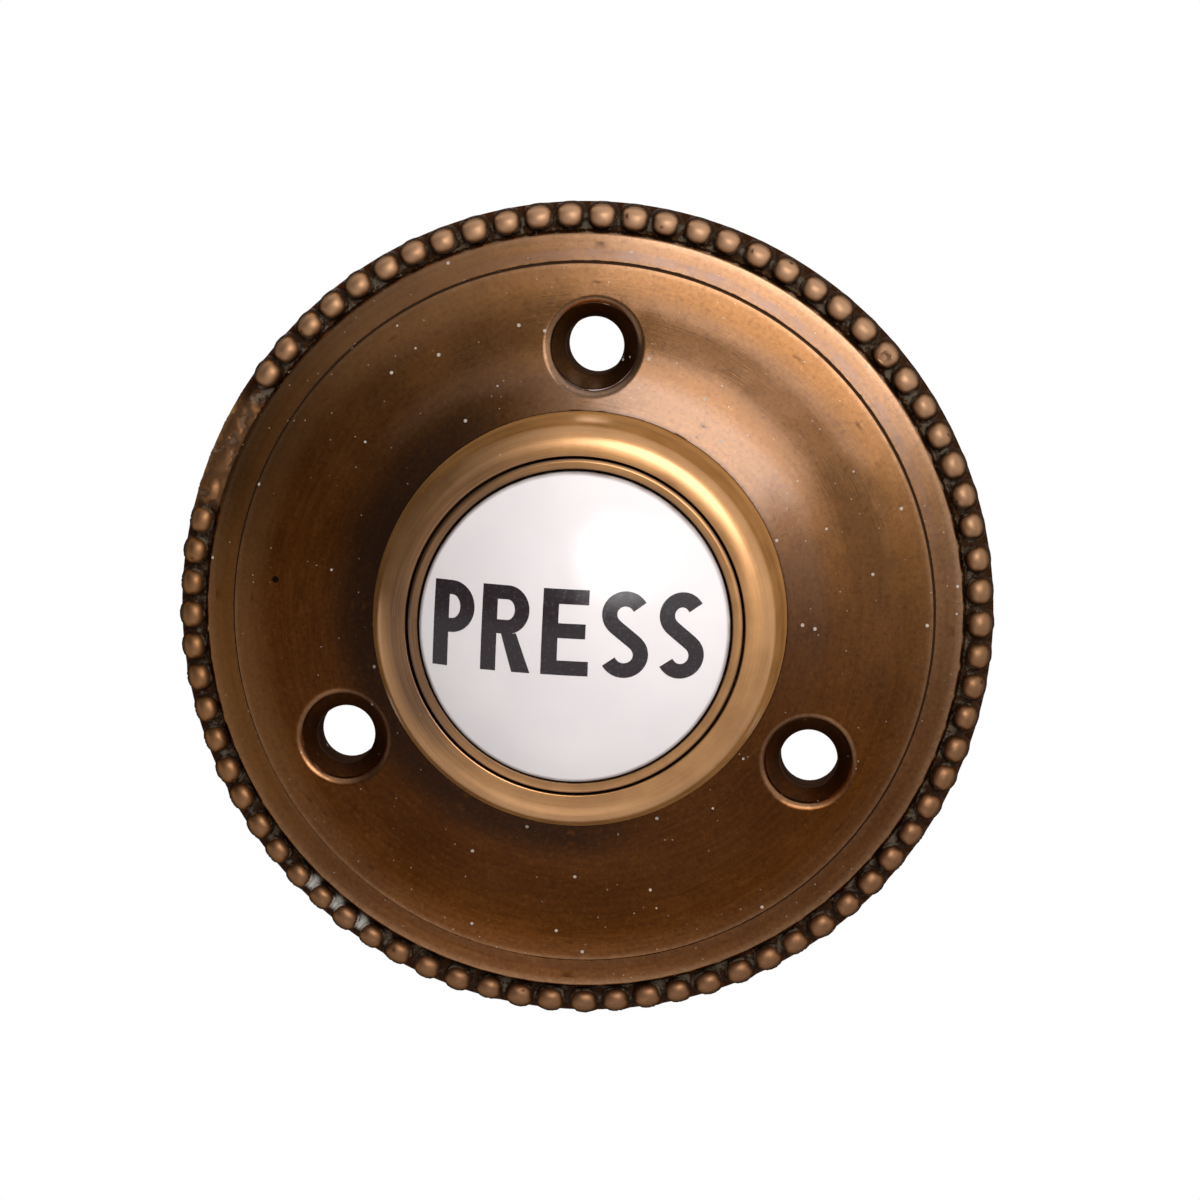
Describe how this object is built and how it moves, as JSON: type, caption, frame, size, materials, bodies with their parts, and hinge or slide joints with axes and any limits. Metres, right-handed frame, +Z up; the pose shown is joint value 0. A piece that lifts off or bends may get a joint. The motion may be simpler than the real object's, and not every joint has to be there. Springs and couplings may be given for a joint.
{
  "type": "doorbell push button",
  "caption": "Round cast brass doorbell push with a beaded edge, raised golden bezel, white glazed button that travels inwards, and a spring contact set behind it.",
  "frame": {"origin": "centre of the rose's back, on the button's axis, in the plane of the wall", "axes": "+Z up the wall, +Y into the wall, so the button faces -Y"},
  "size_m": [0.076, 0.0217, 0.076],
  "materials": {
    "antique_brass": "brown patina, rubbed bright on the high spots",
    "golden_brass": "polished, slightly aged",
    "plain_brass": "as machined",
    "porcelain": "gloss glaze",
    "steel": "plain",
    "fibre": "matt",
    "phenolic": "moulded, satin",
    "silver": "plain"
  },
  "bodies": {
    "housing": {"rose_plate": "antique_brass", "bezel_barrel": "golden_brass", "lock_washer": "steel", "ring_nut": "plain_brass", "contact_base": "phenolic", "snap_ring": "steel", "return_spring": "steel", "left_contact": "plain_brass", "right_contact": "plain_brass", "contact_tips": "silver", "terminal_screws": "plain_brass", "terminal_washers": "plain_brass", "terminal_nuts": "plain_brass"},
    "button": {"button_cap": "porcelain", "button_ferrule": "golden_brass", "plunger_pin": "plain_brass", "insulating_bush": "fibre", "contact_disc": "plain_brass", "insulating_washer": "fibre", "e_clip": "steel"}
  },
  "joints": [
    {"name": "button_press", "type": "slide", "parent": "housing", "child": "button", "axis": [0, 1, 0], "range_m": [0, 0.002], "stiffness_N_per_m": 700, "springref_m": -0.003, "deforming": ["return_spring"]}
  ]
}
